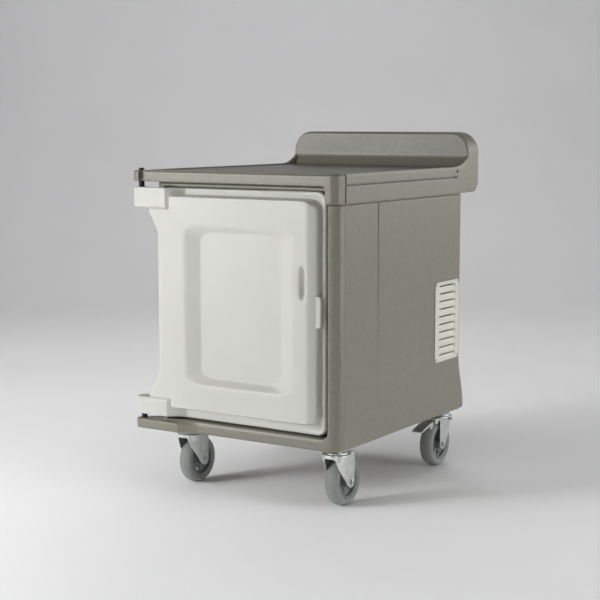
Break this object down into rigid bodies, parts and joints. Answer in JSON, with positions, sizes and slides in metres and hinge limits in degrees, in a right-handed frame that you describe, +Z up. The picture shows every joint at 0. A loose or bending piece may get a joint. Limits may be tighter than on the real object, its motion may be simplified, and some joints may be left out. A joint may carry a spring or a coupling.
{
  "type": "insulated food carrier",
  "caption": "Insulated meal cart: moulded box with a side-hinged door, worktop cap with backsplash, louvred vent plate and swivel casters.",
  "frame": {"origin": "on the floor, below the centre of the whole object's box", "axes": "+Z up, -Y out of the door side, +X towards the door's latch side and the vent plate"},
  "size_m": [0.764, 0.932, 1.134],
  "materials": {
    "granite_polyethylene": "matte",
    "white_polyethylene": "satin",
    "liner_polyethylene": "matte",
    "insulation_foam": "matte",
    "black_nylon": "satin",
    "ivory_abs": "satin",
    "stainless_fastener": "satin",
    "zinc_steel": "satin",
    "grey_tyre": "matte",
    "grey_hub": "satin",
    "gasket_rubber": "matte"
  },
  "bodies": {
    "cabinet": {"cabinet_shell": "granite_polyethylene", "cavity_liner": "liner_polyethylene", "insulation_core": "insulation_foam", "breather_tube": "black_nylon", "vent_plate": "ivory_abs", "vent_screw_1": "stainless_fastener", "vent_screw_2": "stainless_fastener", "vent_screw_3": "stainless_fastener", "vent_screw_4": "stainless_fastener", "worktop_cap": "granite_polyethylene", "worktop_core": "insulation_foam", "upper_hinge_pin": "black_nylon", "lower_hinge_pin": "black_nylon", "upper_hinge_bush": "black_nylon", "lower_hinge_bush": "black_nylon", "tray_rack_left": "liner_polyethylene", "tray_rack_right": "liner_polyethylene", "strike_plate": "stainless_fastener", "front_left_caster_plate": "zinc_steel", "front_left_kingpin": "stainless_fastener", "front_right_caster_plate": "zinc_steel", "front_right_kingpin": "stainless_fastener", "rear_left_caster_plate": "zinc_steel", "rear_left_kingpin": "stainless_fastener", "rear_right_caster_plate": "zinc_steel", "rear_right_kingpin": "stainless_fastener"},
    "door": {"door_shell": "white_polyethylene", "door_core": "insulation_foam", "door_liner": "white_polyethylene", "door_magnet": "black_nylon", "door_gasket": "gasket_rubber"},
    "front_left_swivel": {"front_left_fork": "zinc_steel", "front_left_axle": "stainless_fastener"},
    "front_left_wheel": {"front_left_tyre": "grey_tyre", "front_left_hub": "grey_hub", "front_left_bearing": "stainless_fastener"},
    "front_right_swivel": {"front_right_fork": "zinc_steel", "front_right_axle": "stainless_fastener"},
    "front_right_wheel": {"front_right_tyre": "grey_tyre", "front_right_hub": "grey_hub", "front_right_bearing": "stainless_fastener"},
    "rear_left_swivel": {"rear_left_fork": "zinc_steel", "rear_left_axle": "stainless_fastener"},
    "rear_left_wheel": {"rear_left_tyre": "grey_tyre", "rear_left_hub": "grey_hub", "rear_left_bearing": "stainless_fastener"},
    "rear_left_brake": {"rear_left_brake_pedal": "zinc_steel"},
    "rear_right_swivel": {"rear_right_fork": "zinc_steel", "rear_right_axle": "stainless_fastener"},
    "rear_right_wheel": {"rear_right_tyre": "grey_tyre", "rear_right_hub": "grey_hub", "rear_right_bearing": "stainless_fastener"},
    "rear_right_brake": {"rear_right_brake_pedal": "zinc_steel"}
  },
  "joints": [
    {"name": "door_hinge", "type": "hinge", "parent": "cabinet", "child": "door", "pos_m": [-0.3575, -0.4415, 0.6], "axis": [0, 0, -1], "range_deg": [0, 270]},
    {"name": "front_left_swivel", "type": "hinge", "parent": "cabinet", "child": "front_left_swivel", "pos_m": [-0.242, -0.35, 0.17], "axis": [0, 0, 1], "continuous": true},
    {"name": "front_left_wheel_spin", "type": "hinge", "parent": "front_left_swivel", "child": "front_left_wheel", "pos_m": [-0.242, -0.315, 0.0762], "axis": [1, 0, 0], "continuous": true},
    {"name": "front_right_swivel", "type": "hinge", "parent": "cabinet", "child": "front_right_swivel", "pos_m": [0.311, -0.35, 0.17], "axis": [0, 0, 1], "continuous": true},
    {"name": "front_right_wheel_spin", "type": "hinge", "parent": "front_right_swivel", "child": "front_right_wheel", "pos_m": [0.311, -0.315, 0.0762], "axis": [1, 0, 0], "continuous": true},
    {"name": "rear_left_swivel", "type": "hinge", "parent": "cabinet", "child": "rear_left_swivel", "pos_m": [-0.242, 0.335, 0.17], "axis": [0, 0, 1], "continuous": true},
    {"name": "rear_left_wheel_spin", "type": "hinge", "parent": "rear_left_swivel", "child": "rear_left_wheel", "pos_m": [-0.242, 0.3, 0.0762], "axis": [1, 0, 0], "continuous": true},
    {"name": "rear_left_brake_press", "type": "hinge", "parent": "rear_left_swivel", "child": "rear_left_brake", "pos_m": [-0.242, 0.265, 0.158], "axis": [1, 0, 0], "range_deg": [0, 10]},
    {"name": "rear_right_swivel", "type": "hinge", "parent": "cabinet", "child": "rear_right_swivel", "pos_m": [0.311, 0.335, 0.17], "axis": [0, 0, 1], "continuous": true},
    {"name": "rear_right_wheel_spin", "type": "hinge", "parent": "rear_right_swivel", "child": "rear_right_wheel", "pos_m": [0.311, 0.3, 0.0762], "axis": [1, 0, 0], "continuous": true},
    {"name": "rear_right_brake_press", "type": "hinge", "parent": "rear_right_swivel", "child": "rear_right_brake", "pos_m": [0.311, 0.265, 0.158], "axis": [1, 0, 0], "range_deg": [0, 10]}
  ]
}
